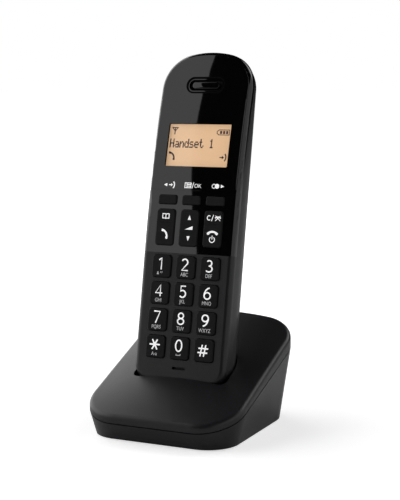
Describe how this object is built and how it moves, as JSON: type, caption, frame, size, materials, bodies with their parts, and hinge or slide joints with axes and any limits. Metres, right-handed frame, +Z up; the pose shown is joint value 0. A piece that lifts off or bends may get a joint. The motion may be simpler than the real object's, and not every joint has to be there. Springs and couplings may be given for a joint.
{
  "type": "cordless telephone with charging base",
  "caption": "Slim candybar cordless handset with backlit display, dial keys and rocker keys, standing in the pocket of a wedge-shaped charging base; lifts out.",
  "frame": {"origin": "on the supporting surface, under the middle of the base", "axes": "+Z up along the whole object, +X across the handset's face to its right as seen from the front, +Y from the front of the base to its back"},
  "size_m": [0.0792, 0.086, 0.1783],
  "materials": {
    "case_black": "fine spark-eroded texture",
    "key_black": "satin",
    "piano_black": "polished",
    "lens": "polished clear plastic, black print behind, clear over the display",
    "grey_rubber": "matte",
    "board_green": "solder resist",
    "steel": "plain",
    "display": "amber backlit liquid crystal",
    "light_guide": "diffusing",
    "screen_cloth": "fine mesh",
    "cell": "printed sleeve",
    "inner_black": "plain",
    "plated": "nickel and gold flash",
    "foot_rubber": "matte"
  },
  "bodies": {
    "base": {"base_top_shell": "case_black", "base_bottom_shell": "case_black", "base_feet": "foot_rubber", "base_screws": "steel", "base_circuit_board": "board_green", "line_jack": "inner_black", "power_inlet": "inner_black", "base_charge_contacts": "plated", "base_antenna": "steel"},
    "handset": {"front_cabinet": "case_black", "upper_panel": "piano_black", "display_lens": "lens", "rear_shell": "case_black", "keypad_membrane": "grey_rubber", "handset_circuit_board": "board_green", "microphone": "steel", "lcd_module": "display", "lcd_backlight": "light_guide", "earpiece_screen": "screen_cloth", "earpiece_speaker": "steel", "ringer_speaker": "steel", "battery_cell_left": "cell", "battery_cell_right": "cell", "battery_holder": "inner_black", "battery_contacts": "steel", "handset_charge_contacts": "plated", "handset_antenna": "steel"},
    "battery_cover": {"battery_cover": "case_black"},
    "page_button": {"page_button": "key_black"},
    "key_star": {"key_star": "key_black"},
    "key_0": {"key_0": "key_black"},
    "key_hash": {"key_hash": "key_black"},
    "key_7": {"key_7": "key_black"},
    "key_8": {"key_8": "key_black"},
    "key_9": {"key_9": "key_black"},
    "key_4": {"key_4": "key_black"},
    "key_5": {"key_5": "key_black"},
    "key_6": {"key_6": "key_black"},
    "key_1": {"key_1": "key_black"},
    "key_2": {"key_2": "key_black"},
    "key_3": {"key_3": "key_black"},
    "soft_key_left": {"soft_key_left": "key_black"},
    "soft_key_middle": {"soft_key_middle": "key_black"},
    "soft_key_right": {"soft_key_right": "key_black"},
    "talk_key": {"talk_key": "key_black"},
    "navigation_key": {"navigation_key": "key_black"},
    "off_key": {"off_key": "key_black"}
  },
  "joints": [
    {"name": "handset_lift", "type": "slide", "parent": "base", "child": "handset", "axis": [0, 0.1934, 0.9811], "range_m": [0, 0.05]},
    {"name": "battery_cover_off", "type": "slide", "parent": "handset", "child": "battery_cover", "axis": [0, 0.9811, -0.1934], "range_m": [0, 0.012]},
    {"name": "page_button_press", "type": "slide", "parent": "base", "child": "page_button", "axis": [0, -1, 0], "range_m": [0, 0.001], "stiffness_N_per_m": 300},
    {"name": "key_star_press", "type": "slide", "parent": "handset", "child": "key_star", "axis": [0, 0.9811, -0.1934], "range_m": [0, 0.0008], "stiffness_N_per_m": 400},
    {"name": "key_0_press", "type": "slide", "parent": "handset", "child": "key_0", "axis": [0, 0.9811, -0.1934], "range_m": [0, 0.0008], "stiffness_N_per_m": 400},
    {"name": "key_hash_press", "type": "slide", "parent": "handset", "child": "key_hash", "axis": [0, 0.9811, -0.1934], "range_m": [0, 0.0008], "stiffness_N_per_m": 400},
    {"name": "key_7_press", "type": "slide", "parent": "handset", "child": "key_7", "axis": [0, 0.9811, -0.1934], "range_m": [0, 0.0008], "stiffness_N_per_m": 400},
    {"name": "key_8_press", "type": "slide", "parent": "handset", "child": "key_8", "axis": [0, 0.9811, -0.1934], "range_m": [0, 0.0008], "stiffness_N_per_m": 400},
    {"name": "key_9_press", "type": "slide", "parent": "handset", "child": "key_9", "axis": [0, 0.9811, -0.1934], "range_m": [0, 0.0008], "stiffness_N_per_m": 400},
    {"name": "key_4_press", "type": "slide", "parent": "handset", "child": "key_4", "axis": [0, 0.9811, -0.1934], "range_m": [0, 0.0008], "stiffness_N_per_m": 400},
    {"name": "key_5_press", "type": "slide", "parent": "handset", "child": "key_5", "axis": [0, 0.9811, -0.1934], "range_m": [0, 0.0008], "stiffness_N_per_m": 400},
    {"name": "key_6_press", "type": "slide", "parent": "handset", "child": "key_6", "axis": [0, 0.9811, -0.1934], "range_m": [0, 0.0008], "stiffness_N_per_m": 400},
    {"name": "key_1_press", "type": "slide", "parent": "handset", "child": "key_1", "axis": [0, 0.9811, -0.1934], "range_m": [0, 0.0008], "stiffness_N_per_m": 400},
    {"name": "key_2_press", "type": "slide", "parent": "handset", "child": "key_2", "axis": [0, 0.9811, -0.1934], "range_m": [0, 0.0008], "stiffness_N_per_m": 400},
    {"name": "key_3_press", "type": "slide", "parent": "handset", "child": "key_3", "axis": [0, 0.9811, -0.1934], "range_m": [0, 0.0008], "stiffness_N_per_m": 400},
    {"name": "soft_key_left_press", "type": "slide", "parent": "handset", "child": "soft_key_left", "axis": [0, 0.9811, -0.1934], "range_m": [0, 0.0008], "stiffness_N_per_m": 400},
    {"name": "soft_key_middle_press", "type": "slide", "parent": "handset", "child": "soft_key_middle", "axis": [0, 0.9811, -0.1934], "range_m": [0, 0.0008], "stiffness_N_per_m": 400},
    {"name": "soft_key_right_press", "type": "slide", "parent": "handset", "child": "soft_key_right", "axis": [0, 0.9811, -0.1934], "range_m": [0, 0.0008], "stiffness_N_per_m": 400},
    {"name": "talk_key_rock", "type": "hinge", "parent": "handset", "child": "talk_key", "pos_m": [-0.0126, 0.00179, 0.09505], "axis": [1, 0, 0], "range_deg": [-2, 2], "stiffness_Nm_per_rad": 0.07},
    {"name": "navigation_key_rock", "type": "hinge", "parent": "handset", "child": "navigation_key", "pos_m": [0, 0.00179, 0.09505], "axis": [1, 0, 0], "range_deg": [-2, 2], "stiffness_Nm_per_rad": 0.07},
    {"name": "off_key_rock", "type": "hinge", "parent": "handset", "child": "off_key", "pos_m": [0.0126, 0.00179, 0.09505], "axis": [1, 0, 0], "range_deg": [-2, 2], "stiffness_Nm_per_rad": 0.07}
  ]
}
